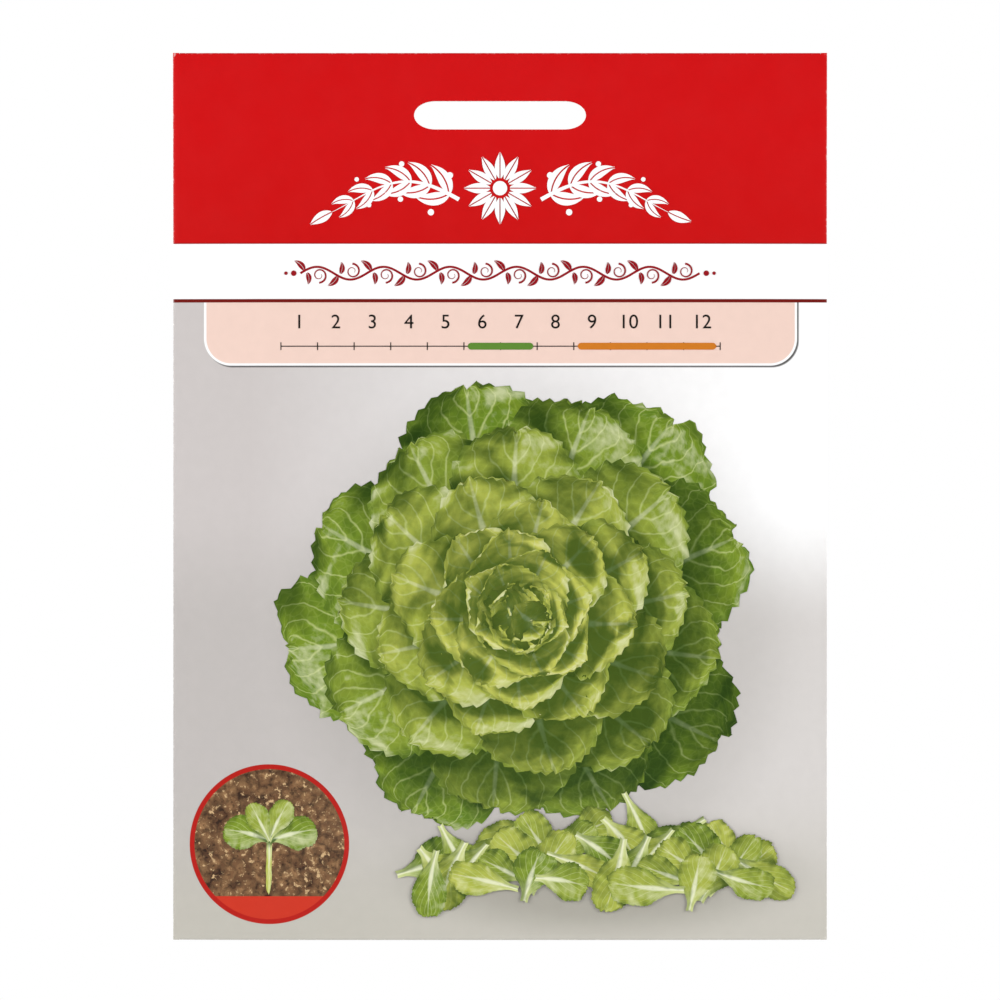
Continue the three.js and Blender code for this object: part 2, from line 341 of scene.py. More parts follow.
printed_faces = set(blank.faces)
bmesh.ops.solidify(blank, geom=blank.faces, thickness=PAPER)
blank.normal_update()
for f in blank.faces:
    if f not in printed_faces:
        f.material_index = BARE

SHARP = radians(40)


def finish_piece(bm, name, materials):
    """Turns a bmesh in millimetres into a smooth-shaded object that rides with the packet."""
    bmesh.ops.scale(bm, verts=bm.verts, vec=(MM,) * 3)
    for e in bm.edges:
        e.smooth = e.calc_face_angle(0) < SHARP
    for f in bm.faces:
        f.smooth = True
    piece = set_out(name, bpy.data.meshes.new(name))
    bm.to_mesh(piece.data)
    bm.free()
    for m in materials:
        piece.data.materials.append(m)
    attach(piece, "root")
    return piece


def inked_above(tree, value, limit, soft=0.05):
    """A mask that turns from 0 to 1 as value rises past limit, as crisp as printed edges are."""
    return add(tree, "MapRange", (value, limit - soft, limit + soft))


def inked_below(tree, value, limit, soft=0.05):
    """The same mask, turned over: 1 where value is below limit."""
    return inked_above(tree, value, limit, -soft)


def overprint(tree, under, ink, mask):
    """Ink laid over what is already printed, where mask is 1. A plain tone is given as a hex value."""
    under, ink = (linear(tone) if isinstance(tone, str) else tone for tone in (under, ink))
    return add(tree, "Mix", {0: mask, 6: under, 7: ink}, out=2, data_type="RGBA")


def graded(tree, under, ink, value, none, full, most=1.0, ease="LINEAR"):
    """Ink laid over in a tint that grows to most as value goes from none to full."""
    mask = add(tree, "MapRange", (value, none, full, 0, most), interpolation_type=ease)
    return overprint(tree, under, ink, mask)


def distance_from(tree, place, x, z, stretch=1.0):
    """How far a spot on the face is from x, z. stretch below 1 shortens it sideways."""
    way = add(tree, "VectorMath", (place, (stretch, 0, 1), (-stretch * x, 0, -z)), operation="MULTIPLY_ADD")
    return add(tree, "VectorMath", (way,), out="Value", operation="LENGTH")


def rounded_box(tree, place, centre, half, radius):
    """Signed distance from a spot on the face to a box with round corners, negative inside."""
    way = add(tree, "VectorMath", (place, (centre[0], 0, centre[1])), operation="SUBTRACT")
    mirrored = add(tree, "VectorMath", (way,), operation="ABSOLUTE")
    corner = (half[0] - radius, 0, half[1] - radius)
    outside = add(tree, "VectorMath", (mirrored, corner), operation="SUBTRACT")
    clipped = add(tree, "VectorMath", (outside, (0, 0, 0)), operation="MAXIMUM")
    return add(tree, "Math", (distance_from(tree, clipped, 0, 0), radius), operation="SUBTRACT")


# Silk-coated printing paper: a smooth white clay coat under offset ink. It gives the eye clean flat
# colour, a broad soft sheen, and white cracks where the coat breaks along the folds.
COAT = 0.9  # how much light the bare coat gives back
SILK_GLOSS = 0.22


def silk_coated_paper(tree, printed):
    """printed(tree, place) gives the ink's colour, where place is the spot on the packet in mm."""
    place = place_on_packet(tree)

    # The ink's own unevenness, about 2 mm across and very faint.
    mottle = add(tree, "TexNoise", Vector=place, Scale=0.5, Detail=3)
    shade = add(tree, "MapRange", (mottle, 0.3, 0.7, COAT - 0.01, COAT + 0.01))
    colour = add(tree, "VectorMath", (printed(tree, place),), operation="SCALE", Scale=shade)

    # Cracked coating at the folds: specks about 0.3 mm long within 0.2 mm of the packet's outline.
    edge = rounded_box(tree, place, (0, MIDDLE), (SIDE + PAPER / 2, (TOP - BOTTOM) / 2), 1.2)
    near_fold = add(tree, "MapRange", (edge, -0.24, -0.02, 0, 0.45))
    specks = add(tree, "TexNoise", Vector=place, Scale=1.4, Detail=5, Roughness=0.7)
    colour = graded(tree, colour, "F1EDE8", specks, 0.54, 0.62, near_fold)

    # Fibres show through the coat as a fine orange peel, 0.5 mm across, drawn coarser than real.
    peel = add(tree, "TexNoise", Vector=place, Scale=2.0, Detail=2)
    sheen = add(tree, "TexNoise", Vector=place, Scale=0.16, Detail=2)
    return {
        "Base Color": colour,
        "Roughness": add(tree, "MapRange", (sheen, 0.3, 0.7, 0.33, 0.4)),
        "Specular IOR Level": SILK_GLOSS,
        "Normal": add(tree, "Bump", Height=peel, Distance=0.000004, Strength=0.6),
    }


HEADER_FOOT, NAME_FOOT, RULE_FOOT = TOP - 34.43, TOP - 44.37, TOP - 45.0
PANEL_MIDDLE, PANEL_HALF, PANEL_FOOT, PANEL_CORNER = 0.1, 53.5, TOP - 56.4, 4.9
PANEL_OUTLINE, PANEL_SHADOW = 0.42, 0.3
PANEL_HIDDEN = 20  # how far the panel's outline runs on above the rule, out of sight
ROSETTE = (4, -92)
HEAP, HEAP_HALF, HEAP_DEPTH = (18, -141.5), 31, 11
ROUNDEL, ROUNDEL_RADIUS, ROUNDEL_RING, BAND_TOP = (-41.6, -134.0), 14.4, 0.85, -143.4


def soil(tree, place):
    """Garden soil in a picture: dark crumbs of 1 to 3 mm with paler grit and straw."""
    shaken = add(tree, "TexNoise", Vector=place, Scale=0.5, Detail=4, out="Color")
    uneven = add(tree, "VectorMath", (shaken, (3.2, 3.2, 3.2), place), operation="MULTIPLY_ADD")
    crumbs = add(tree, "TexVoronoi", Vector=uneven, Scale=0.55)
    grains = add(tree, "TexVoronoi", Vector=uneven, Scale=1.6, out="Color")
    tone = add(tree, "TexNoise", Vector=place, Scale=0.9, Detail=6, Roughness=0.7)
    lump = graded(tree, "9A7550", "35241A", crumbs, 0.1, 0.85)
    lump = graded(tree, lump, "6B4A32", grains, 0.3, 0.7, 0.6)
    lump = graded(tree, lump, "CFAE80", tone, 0.57, 0.63)
    return graded(tree, lump, "2A1B12", tone, 0.46, 0.34, 0.75)


def front_print(tree, place):
    x, z = (add(tree, "SeparateXYZ", (place,), out=axis) for axis in "XZ")

    # The picture's backdrop: a wall that lightens to the upper right, over a pale grey table, with
    # the soft shadows that the rosette and the loose leaves cast on it.
    wall = graded(tree, "CBC5C3", "FFFFFF", x, -45, 52)
    table = graded(tree, "BEB9B6", "D3CFCC", x, -45, 52)
    colour = graded(tree, table, wall, z, -96, -71, 1.0, "SMOOTHSTEP")
    colour = graded(tree, colour, "BCB9AD", z, -120, -150, 0.75, "SMOOTHSTEP")
    from_rosette = distance_from(tree, place, ROSETTE[0] + 3, ROSETTE[1] - 4)
    colour = graded(tree, colour, "85827A", from_rosette, 51, 36, 0.22, "SMOOTHSTEP")
    from_heap = distance_from(tree, place, HEAP[0], HEAP[1] + 2, 0.3)
    colour = graded(tree, colour, "7E7B6E", from_heap, 13, 6, 0.45, "SMOOTHSTEP")

    # The roundel at the lower left: soil in a red ring, with a red band across its foot.
    from_middle = distance_from(tree, place, *ROUNDEL)
    disc = inked_below(tree, from_middle, ROUNDEL_RADIUS)
    ring = inked_above(tree, from_middle, ROUNDEL_RADIUS - ROUNDEL_RING)
    colour = overprint(tree, colour, soil(tree, place), disc)
    for ink, mask in (("C83420", inked_below(tree, z, BAND_TOP)), ("B21A12", ring)):
        mask = add(tree, "Math", (disc, mask), operation="MULTIPLY")
        colour = overprint(tree, colour, ink, mask)

    # The pink panel hangs from the rule: a grey shadow to its right and below, a white outline, its tint.
    half = (PANEL_HALF, (RULE_FOOT + PANEL_HIDDEN - PANEL_FOOT) / 2)
    middle = Vector((PANEL_MIDDLE, PANEL_FOOT + half[1]))
    shifted = middle + Vector((PANEL_SHADOW, -PANEL_SHADOW))
    shadow, box = (rounded_box(tree, place, spot, half, PANEL_CORNER) for spot in (shifted, middle))
    colour = overprint(tree, colour, "5E5C5B", inked_below(tree, shadow, 0, 0.12))
    colour = overprint(tree, colour, "FFFFFF", inked_below(tree, box, 0))
    colour = overprint(tree, colour, "F0D2C5", inked_below(tree, box, -PANEL_OUTLINE))

    # The rule, the name's white band, and the header red with a darker line where it ends.
    for ink, foot in (("720D07", RULE_FOOT), ("FFFFFF", NAME_FOOT), ("9C0408", HEADER_FOOT)):
        colour = overprint(tree, colour, ink, inked_above(tree, z, foot))
    red = graded(tree, "CA0709", "D0060B", z, HEADER_FOOT, TOP - 15)
    return overprint(tree, colour, red, inked_above(tree, z, HEADER_FOOT + 0.2, 0.12))


def flap_print(tree, place):
    """The front's header red runs over the top fold. The bottom flap keeps the backdrop's grey."""
    z = add(tree, "SeparateXYZ", (place,), out="Z")
    return overprint(tree, "C1BEB3", "D0060B", inked_above(tree, z, MIDDLE))


def back_print(tree, place):
    """Warm white, with a paler panel in a green outline for the planting notes."""
    panel = rounded_box(tree, place, (0, -84), (49, 52), 4)
    colour = overprint(tree, "EFE7D8", "5E8A3C", inked_below(tree, panel, 0))
    return overprint(tree, colour, "FAFAF0", inked_below(tree, panel, -0.5))


# The same paper where no ink reaches it: uncoated inside, with its white core at every cut edge.
def uncoated_paper(tree):
    place = place_on_packet(tree)
    fibres = add(tree, "TexNoise", Vector=place, Scale=0.9, Detail=4, Roughness=0.7)
    return {
        "Base Color": overprint(tree, "E9E6DF", "F7F5F0", fibres),
        "Roughness": 0.85,
        "Normal": add(tree, "Bump", Height=fibres, Distance=0.00001),
    }


printed_sides = (("front", front_print), ("back", back_print), ("flaps", flap_print))
papers = [make_material("silk_coated_paper_" + side, silk_coated_paper, ink) for side, ink in printed_sides]
papers.append(make_material("uncoated_white_paper", uncoated_paper))
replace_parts(finish_piece(blank, "packet_paper", papers), "packet_sheet")

# ---- Leaf picture on the front ----
# The picture is of one open rosette of chicory leaves, seen from above. Its leaves are shaped and
# lit in the round, and then laid flat on the paper as a film of ink under a hundredth of a
# millimetre thick per leaf, so the light of the picture is printed and stays with it.

INK_FILM = 0.008
FILM_LIFT = 0.035  # the ink's face above the paper's, so that no film dips into a wave of the sheet
LEAF_STEPS, LEAF_COLUMNS = 56, 14
LEAF_MIDDLE, LEAF_TEETH = 0.6, 34  # the blade's middle along the leaf, and the teeth round it
KEY_LIGHT = Vector((-0.5, 0.62, 0.72)).normalized()  # in the picture's own x, up and towards the eye
LEAF_LAYERS = ("age", "along", "across", "number", "sideways", "upward", "veins", "shade")


def smooth(a, b, value):
    t = min(1, max(0, (value - a) / (b - a)))
    return t * t * (3 - 2 * t)


def at_angle(angle, far):
    return Vector((far * cos(angle), far * sin(angle)))


def leaf_half_width(u, across, half, number, stalk):
    """A chicory leaf's outline: a narrow stalk and a broad blade with uneven lobes."""
    blade = stalk + (1 - stalk) * smooth(0.1, 0.62, u)
    tip = max(0.03, 1 - max(0, (u - 0.6) / 0.4) ** 2.6) ** 0.55
    lobe = 0.16 * noise.noise(Vector((u * 5, number * 1.7, 2 if across > 0 else 6)))
    return half * blade * tip * (1 + lobe * abs(across) ** 5 * smooth(0.12, 0.3, u))


def tooth_cut(u, across, half_here, length, number):
    """How far the teeth of a leaf's margin cut in towards its middle, as a share of the way there."""
    around = atan2(across * half_here, (u - LEAF_MIDDLE) * length)
    turns = LEAF_TEETH * around / (2 * pi) + 0.3 * number
    tooth = (turns + 0.35 * noise.noise(Vector((2 * around, number, 8)))) % 1
    at_margin = max(abs(across), smooth(0.8, 1, u)) ** 7 * smooth(0.15, 0.4, u)
    return 0.1 * (0.7 + 0.6 * noise.noise(Vector((1.5 * around, number, 3)))) * tooth * at_margin


def add_leaf(bm, number, root, heading, length, half, rise, droop, age, ruffle, cup=0.3, stalk=0.17):
    """One leaf in the round. It leaves root towards heading at the angle rise, and bends over by
    droop along its length. Coordinates are x, up the page, and towards the eye."""
    spots, angles, spine = [0], [rise], [Vector((0, 0))]
    for i in range(1, LEAF_STEPS + 1):
        spots.append(1 - (1 - i / LEAF_STEPS) ** 1.4)
        angles.append(rise - droop * spots[i] ** 1.3)
        spine.append(spine[-1] + at_angle(angles[i], length * (spots[i] - spots[i - 1])))
    turn_to = Matrix.Rotation(heading, 3, "Z")
    sway = 0.12 * half * sin(number * 2.4)
    size = length / 40
    grid = bmesh.ops.create_grid(bm, x_segments=LEAF_COLUMNS, y_segments=LEAF_STEPS, size=1)["verts"]
    layers = [bm.verts.layers.float[name] for name in LEAF_LAYERS]
    for v in grid:
        across, step = v.co.x, round((v.co.y + 1) / 2 * LEAF_STEPS)
        u, angle, (outward, height) = spots[step], angles[step], spine[step]
        half_here = leaf_half_width(u, across, half, number, stalk)

        # The blade is cupped, ruffled at its margins, blistered between its veins, and toothed.
        side = 1 if across > 0 else -1
        wave = sin(2 * pi * (u * 3.6 + 0.21 * number + 0.3 * side))
        wave += 0.5 * sin(2 * pi * (u * 8.3 + 0.37 * number * side))
        blister = noise.noise(Vector((across * half / 3.4, u * length / 3.4, number * 3.1)))
        lift = cup * half_here * across**2
        lift += 0.14 * ruffle * half * abs(across) ** 3.2 * smooth(0.15, 0.55, u) * wave
        lift += 0.035 * half * blister * (1 - 0.5 * abs(across)) + 0.1 * half * abs(across) ** 0.7
        cut = tooth_cut(u, across, half_here, length, number)
        back = cut * (u - LEAF_MIDDLE) * length
        out = outward - sin(angle) * lift - cos(angle) * back
        up = height + cos(angle) * lift - sin(angle) * back
        sideways = across * half_here * (1 - cut) + sway * sin(pi * u)
        v.co = Vector(root) + turn_to @ Vector((out, sideways, up))
        values = (age, u, across, number, 11 * across * size, 30 * u * size, 9 * sqrt(size), 0)
        for layer, value in zip(layers, values):
            v[layer] = value


def new_picture():
    picture = bmesh.new()
    for name in LEAF_LAYERS:
        picture.verts.layers.float.new(name)
    return picture


SKY_RAYS, SKY = 28, []  # even directions over the half sphere that faces the eye
for i in range(SKY_RAYS):
    z, turned = 1 - (i + 0.5) / SKY_RAYS, i * pi * (3 - sqrt(5))
    SKY.append(Vector((*at_angle(turned, sqrt(1 - z * z)), z)))
KEY_SIDE = 0.16 * KEY_LIGHT.orthogonal().normalized()  # half the key light's width
KEY_RISE = KEY_LIGHT.cross(KEY_SIDE)
SOFT_KEY = [(KEY_LIGHT + off).normalized() for off in (KEY_SIDE, KEY_RISE, -KEY_SIDE, -KEY_RISE)]
RAY_START, KEY_REACH, SKY_REACH = 0.6, 70, 25


def light_picture(bm, level):
    """Stores at each point how bright the key light and the open sky make it, times level."""
    bm.normal_update()
    tree = BVHTree.FromBMesh(bm)
    age, shade = (bm.verts.layers.float[name] for name in ("age", "shade"))
    for v in bm.verts:
        normal = v.normal if v.normal.z > 0 else -v.normal
        origin = v.co + normal * RAY_START
        lit = sum(tree.ray_cast(origin, way, KEY_REACH)[0] is None for way in SOFT_KEY) / len(SOFT_KEY)
        seen, total = 0.0, 0.0
        for way in SKY:
            weight = normal.dot(way)
            if weight > 0.05:
                total += weight
                seen += weight * (tree.ray_cast(origin, way, SKY_REACH)[0] is None)
        openness = seen / total if total else 0
        key = max(0, normal.dot(KEY_LIGHT))
        through = 0.03 + 0.15 * v[age] + 0.1 * lit * (1 - key)
        direct = 0.66 * key * lit + 0.46 * openness**1.5 * (0.6 + 0.4 * normal.z)
        v[shade] = level * (through + direct)
    for v in bm.verts:
        beside = sum(e.other_vert(v)[shade] for e in v.link_edges) / len(v.link_edges)
        v[shade] = max(v[shade], 0.85 * beside)  # a lone dark point is a ray's slip


def make_film(bm, depth):
    """Closes open sheets into films, with a copy of each sheet that lies depth behind it along Y."""
    made = bmesh.ops.extrude_face_region(bm, geom=bm.faces[:], use_keep_orig=True)["geom"]
    rear = [g for g in made if isinstance(g, bmesh.types.BMVert)]
    bmesh.ops.translate(bm, verts=rear, vec=(0, depth, 0))
    bmesh.ops.recalc_face_normals(bm, faces=bm.faces)


def print_shapes(bm, name, ink, centre, surface=front_y):
    """Lays shapes drawn in the plane of the page on a face of the packet, as films of ink. On the
    back and the flap they are drawn as they are seen from behind."""
    out = -1 if surface is front_y else 1
    for v in bm.verts:
        x, z = -out * (centre[0] + v.co.x), centre[1] + v.co.y
        v.co = (x, surface(x, z) + out * (FILM_LIFT + v.co.z), z)
    make_film(bm, -out * INK_FILM)
    finish_piece(bm, "printed_" + name, [ink])


def print_leaf_picture(bm, name, centre, level=1.0):
    """Shrinks the leaves to a relief of ink films, each later leaf just nearer the eye. Triangles
    keep their shape where a margin folds over, and quads would twist there."""
    light_picture(bm, level)
    bmesh.ops.triangulate(bm, faces=bm.faces)
    number = bm.verts.layers.float["number"]
    for v in bm.verts:
        v.co.z = 0.003 * v[number] + 0.0004 * v.co.z
    print_shapes(bm, name, leaf_ink, centre)


# Offset ink of a leaf picture: mid and dark greens on the blades, pale cream-green ribs and hearts.
# It gives the eye crisp branching veins and blistered blades, all of it flat colour on the sheet.
def leaf_picture_ink(tree):
    age, along, across, number, sideways, upward, veins, shade = (
        add(tree, "Attribute", out="Fac", attribute_name=name) for name in LEAF_LAYERS
    )
    off_rib = add(tree, "Math", (across,), operation="ABSOLUTE")
    blade_place = add(tree, "CombineXYZ", (sideways, upward, number))

    # Greens: dark on the outer leaves, yellow-green on the inner ones, cream at each leaf's foot.
    patches = add(tree, "TexNoise", Vector=blade_place, Scale=0.22, Detail=3)
    outer = overprint(tree, "436C16", "8A9F2C", patches)
    inner = overprint(tree, "98A72E", "D6D36C", patches)
    green = graded(tree, outer, inner, age, 0.08, 0.7)
    green = graded(tree, green, "35601A", off_rib, 0.72, 1.0, 0.4)
    green = graded(tree, green, "D3DA9A", along, 0.46, 0.04, 0.8, "SMOOTHSTEP")

    # Fine net of veins, each cell about 1.5 mm, then side veins that sweep up from the broad midrib.
    net = add(tree, "TexVoronoi", Vector=blade_place, Scale=0.8, feature="DISTANCE_TO_EDGE")
    colour = graded(tree, green, "A9BC5E", net, 0.1, 0.0, 0.22)
    wander = add(tree, "TexNoise", Vector=blade_place, Scale=0.3, Detail=2)
    wander = add(tree, "Math", (wander, 0.8), operation="MULTIPLY")
    slant = add(tree, "Math", (off_rib, -3.4, wander), operation="MULTIPLY_ADD")
    slant = add(tree, "Math", (along, veins, slant), operation="MULTIPLY_ADD")
    side_vein = add(tree, "Math", (slant, 0.5), operation="PINGPONG")
    vein_width = add(tree, "MapRange", (off_rib, 0.0, 0.95, 0.12, 0.03))
    colour = graded(tree, colour, "C3CE86", side_vein, vein_width, 0.0, 0.65)
    rib_width = add(tree, "MapRange", (along, 0.0, 0.8, 0.34, 0.035), interpolation_type="SMOOTHSTEP")
    from_rib = add(tree, "Math", (off_rib, rib_width), operation="DIVIDE")
    rib_strength = add(tree, "MapRange", (along, 1.0, 0.45, 0.1, 0.85))
    colour = graded(tree, colour, "E3E6C4", from_rib, 1.25, 0.5, rib_strength)

    # The picture's own light: blisters catch it on one side, and shadow runs to deep green.
    shifted = add(tree, "VectorMath", (blade_place, (0.5, 0.5, 0)), operation="ADD")
    near, far = (add(tree, "TexNoise", Vector=at, Scale=0.55, Detail=4) for at in (blade_place, shifted))
    emboss = add(tree, "Math", (near, far), operation="SUBTRACT")
    emboss = add(tree, "Math", (emboss, 0.9, 1.0), operation="MULTIPLY_ADD")
    light = add(tree, "Math", (shade, emboss), operation="MULTIPLY")
    deep = add(tree, "VectorMath", (colour, (0.15, 0.23, 0.12)), operation="MULTIPLY")
    colour = graded(tree, deep, colour, light, 0.16, 0.72)
    colour = graded(tree, colour, "EEEFC8", light, 0.76, 1.15, 0.5)
    colour = add(tree, "VectorMath", (colour,), operation="SCALE", Scale=COAT)
    return {"Base Color": colour, "Roughness": 0.37, "Specular IOR Level": SILK_GLOSS}


leaf_ink = make_material("offset_ink_leaf_picture", leaf_picture_ink)

LEAVES = 54
GOLDEN_TURN = radians(137.5)
picture = new_picture()
for number in range(LEAVES):
    age = number / (LEAVES - 1)
    heading = number * GOLDEN_TURN + 0.9
    root = (*at_angle(heading, 3.6 - 6 * age), 20 * age)
    length = 34 * (1 - age) ** 0.72 + 7.5
    half = 11.6 * (1 - age) ** 0.7 + 4
    rise = radians(20 + 52 * age**0.9)
    droop = radians(42 - 10 * age + 12 * sin(number * 1.7))
    ruffle, cup = 1.15 - 0.5 * age, 0.3 + 0.35 * age
    add_leaf(picture, number, root, heading, length, half, rise, droop, age, ruffle, cup)
print_leaf_picture(picture, "leaf_rosette", ROSETTE)

# ---- Loose leaves and seedling on the front ----
# Single young leaves lie in a loose heap at the foot of the picture, and a seedling stands in the
# roundel. They are printed and laid down as the rosette is.

HEAP_LEAVES = 36
OVER_ROSETTE = 70  # the loose leaves are numbered on from here, so they lie over the rosette
picture = new_picture()
for number in range(HEAP_LEAVES):
    forward = number / (HEAP_LEAVES - 1)
    side = 2 * ((number * 0.618) % 1) - 1
    spot = Vector(HEAP) + Vector((HEAP_HALF * side, HEAP_DEPTH * (1 - forward) * (1 - 0.6 * side**2)))
    heading = number * 4.743 + 0.4
    length = 12 + 2.2 * sin(number * 1.3)
    root = (*(spot - at_angle(heading, length / 2)), 0.8 * number)
    half = 3.5 + 0.6 * cos(number * 2.9)
    rise, droop = radians(16 + 16 * abs(sin(number))), radians(48)
    age = 0.08 + 0.45 * abs(sin(number * 3.7))
    add_leaf(picture, number + OVER_ROSETTE, root, heading, length, half, rise, droop, age, ruffle=1.3)
print_leaf_picture(picture, "loose_leaves", (0, 0), 0.8)

SEEDLING = (  # each leaf's heading in degrees, its length, half its width, and its age
    (14, 9.2, 3.3, 0.1),
    (166, 8.9, 3.2, 0.1),
    (64, 8.4, 2.3, 0.3),
    (117, 7.9, 2.2, 0.3),
)
picture = new_picture()
add_leaf(picture, 0, (0, 0, 1.2), radians(-91), 9.7, 0.55, rise=0.05, droop=0, age=0.7, ruffle=0.5, stalk=0.9)
for number, (turned, length, half, age) in enumerate(SEEDLING, 1):
    root = (0, 0, 1.2 + 0.4 * number)
    add_leaf(picture, number, root, radians(turned), length, half, rise=0.5, droop=0.7, age=age, ruffle=0.5)
print_leaf_picture(picture, "seedling", (ROUNDEL[0], ROUNDEL[1] + 0.6), 0.85)

# ---- Ornaments, numbers and bars on the front ----
# Solid ink in one colour each: a white sprig knocked out of the header, a dark red running vine in
# the name band, and the planting calendar's month numbers with their season bars.

FILM_STEP = 0.0008  # each stroke is laid this much over the last, so that none share a plane
FLOWER_RAYS, SPRAY_PAIRS = 12, 6


def next_film(bm):
    return max((v.co.z for v in bm.verts), default=0) + FILM_STEP


def ribbon(bm, path, left, right=None, steps=16):
    """A flat strip along path in the plane of the page. left and right say how far it reaches to each
    side, as numbers or functions. Without right, both sides reach as far as left says."""
    film = next_film(bm)
    for v in bmesh.ops.create_grid(bm, x_segments=steps, y_segments=1, size=1)["verts"]:
        t, side = (v.co.x + 1) / 2, 1 if v.co.y > 0 else -1
        reach = left if side > 0 or right is None else right
        ahead, behind = Vector(path(min(1, t + 0.01))), Vector(path(max(0, t - 0.01)))
        way = (ahead - behind).normalized()
        off = side * (reach(t) if callable(reach) else reach)
        spot = Vector(path(t)) + Vector((-way.y, way.x)) * off
        v.co = (spot.x, spot.y, film)


def line(bm, start, end, half, steps):
    ribbon(bm, lambda t: Vector(start).lerp(Vector(end), t), half, steps=steps)


def add_sprig_leaf(bm, root, angle, length, half, curl, cleft):
    """An almond leaf of two halves, with the ground showing through along its midrib."""

    def path(t):
        return Vector(root) + at_angle(angle + curl * (t - 0.3), length * t)

    def swell(t):
        reach = half * sin(pi * min(1, 0.04 + 0.96 * t) ** 0.85) ** 0.9 + 0.02
        return max(cleft / 2 + 0.03, reach)

    ribbon(bm, path, swell, -cleft / 2)
    ribbon(bm, path, -cleft / 2, swell)


def add_dot(bm, x, y, radius):
    place = Matrix.Translation((x, y, next_film(bm)))
    bmesh.ops.create_circle(bm, cap_ends=True, segments=24, radius=radius, matrix=place)


def print_sprig(name, ink, centre, scale, surface=front_y):
    """A twelve-rayed flower between two sprays of leaves and berries, 69 mm wide at scale 1."""
    bm = bmesh.new()
    for side in (-1, 1):

        def stem(t):
            return Vector((side * (7.4 + 23 * t), 3.6 * sin(1.15 * pi * t + 0.1) - 2.4)) * scale

        def way_from(t):
            ahead = stem(t + 0.02) - stem(t)
            return atan2(ahead.y, ahead.x)

        ribbon(bm, stem, lambda t: 0.34 * scale * (1.1 - t), steps=40)
        for i in range(SPRAY_PAIRS):
            t = 0.08 + 0.15 * i
            here, way, size = stem(t), way_from(t), (1.08 - 0.5 * t) * scale
            for up in (-1, 1):
                lean = side * up * radians(52 - 14 * t)
                add_sprig_leaf(bm, here, way + lean, 5.9 * size, 1.12 * size, -0.5 * side * up, 0.26 * size)
                berry = here + at_angle(way + 1.75 * lean, 3.6 * size)
                if i % 2 == 0:
                    add_dot(bm, berry.x + side * 1.4 * size, berry.y, 0.55 * size)
        add_sprig_leaf(bm, stem(1), way_from(0.98), 4.4 * scale, 0.95 * scale, 0.1, 0.2)
    for ray in range(FLOWER_RAYS):
        way = 2 * pi * ray / FLOWER_RAYS
        add_sprig_leaf(bm, at_angle(way, 1.8 * scale), way, 4.7 * scale, 0.92 * scale, 0, 0.2 * scale)
    add_dot(bm, 0, 0, 1.3 * scale)
    print_shapes(bm, name, ink, centre, surface)


# Opaque offset ink in one solid colour over the silk coat: flat, even, a touch glossier than paper.
def solid_ink(tree, colour):
    mottle = add(tree, "TexNoise", Vector=place_on_packet(tree), Scale=0.7, Detail=3)
    shade = add(tree, "MapRange", (mottle, 0.3, 0.7, COAT - 0.02, COAT + 0.01))
    tone = add(tree, "VectorMath", (linear(colour)[:3],), operation="SCALE", Scale=shade)
    return {"Base Color": tone, "Roughness": 0.34, "Specular IOR Level": SILK_GLOSS}


white_ink = make_material("unprinted_white_in_the_red", solid_ink, "FFFFFF")
dark_red_ink = make_material("offset_ink_dark_red", solid_ink, "98101C")
black_ink = make_material("offset_ink_black", solid_ink, "1C1816")
green_ink = make_material("offset_ink_leaf_green", solid_ink, "5E8A34")
amber_ink = make_material("offset_ink_amber", solid_ink, "D07A22")
brown_ink = make_material("offset_ink_earth_brown", solid_ink, "7A5636")

print_sprig("header_sprig", white_ink, (0, TOP - 24.4), 1)

VINE_HALF, VINE_TURNS = 36, 12  # half its length, and how many times it swings up or down
vine = bmesh.new()


def vine_stem(t):
    return VINE_HALF * (2 * t - 1), 1.15 * sin(pi * VINE_TURNS * t)


ribbon(vine, vine_stem, 0.2, steps=260)
for i in range(VINE_TURNS):
    up = 1 if i % 2 == 0 else -1
    x0, y0 = vine_stem((i + 0.05) / VINE_TURNS)

    def tendril(t):
        middle = Vector((x0 + 3.1, y0 - up * 0.55))
        return middle + at_angle(up * pi * (2.7 * t - 0.5), 1.35 * (1 - 0.72 * t))

    ribbon(vine, tendril, lambda t: 0.16 * (1.15 - t), steps=40)
    add_sprig_leaf(vine, (x0 + 0.4, y0 + 0.3 * up), up * radians(115), 2.5, 0.52, 0.5 * up, 0.08)
    add_sprig_leaf(vine, (x0 + 0.9, y0 - 0.1 * up), -up * radians(65), 2.1, 0.46, -0.5 * up, 0.08)
for end in (-1, 1):
    add_dot(vine, end * (VINE_HALF + 1.2), 0, 0.5)
    add_dot(vine, end * (VINE_HALF + 2.6), 0, 0.32)
print_shapes(vine, "name_vine", dark_red_ink, (0, HEADER_FOOT - 5.3))


def add_number(bm, number, x, y, size):
    """A plain numeral centred at x, y in the plane of the page."""
    text = bpy.data.curves.new("numeral", "FONT")
    text.body = str(number)
    text.size = size
    text.align_x = text.align_y = "CENTER"
    drawn = bpy.data.meshes.new_from_object(bpy.data.objects.new("numeral", text))
    drawn.transform(Matrix.Translation((x, y, 0)))
    bm.from_mesh(drawn)
    bpy.data.curves.remove(text)
    bpy.data.meshes.remove(drawn)


MONTH_PITCH = 6.6
SOWING, HARVEST = (6, 7), (9, 12)
SCALE_PLACE = (PANEL_MIDDLE, TOP - 50.8)
SCALE_LINE = -2.1  # where the month scale's line runs, from there


def month_place(month):
    return (month - 6.5) * MONTH_PITCH


def add_months(bm, y, size, lines, line_half, ticks, tick_half, tick_steps):
    """Month numbers over level lines, with a tick from ticks[0] to ticks[1] before and after each."""
    for month in range(1, 13):
        add_number(bm, month, month_place(month), y, size)
    for height in lines:
        line(bm, (month_place(0.5), height), (month_place(12.5), height), line_half, 60)
    for month in range(13):
        x = month_place(month + 0.5)
        line(bm, (x, ticks[0]), (x, ticks[1]), tick_half, tick_steps)


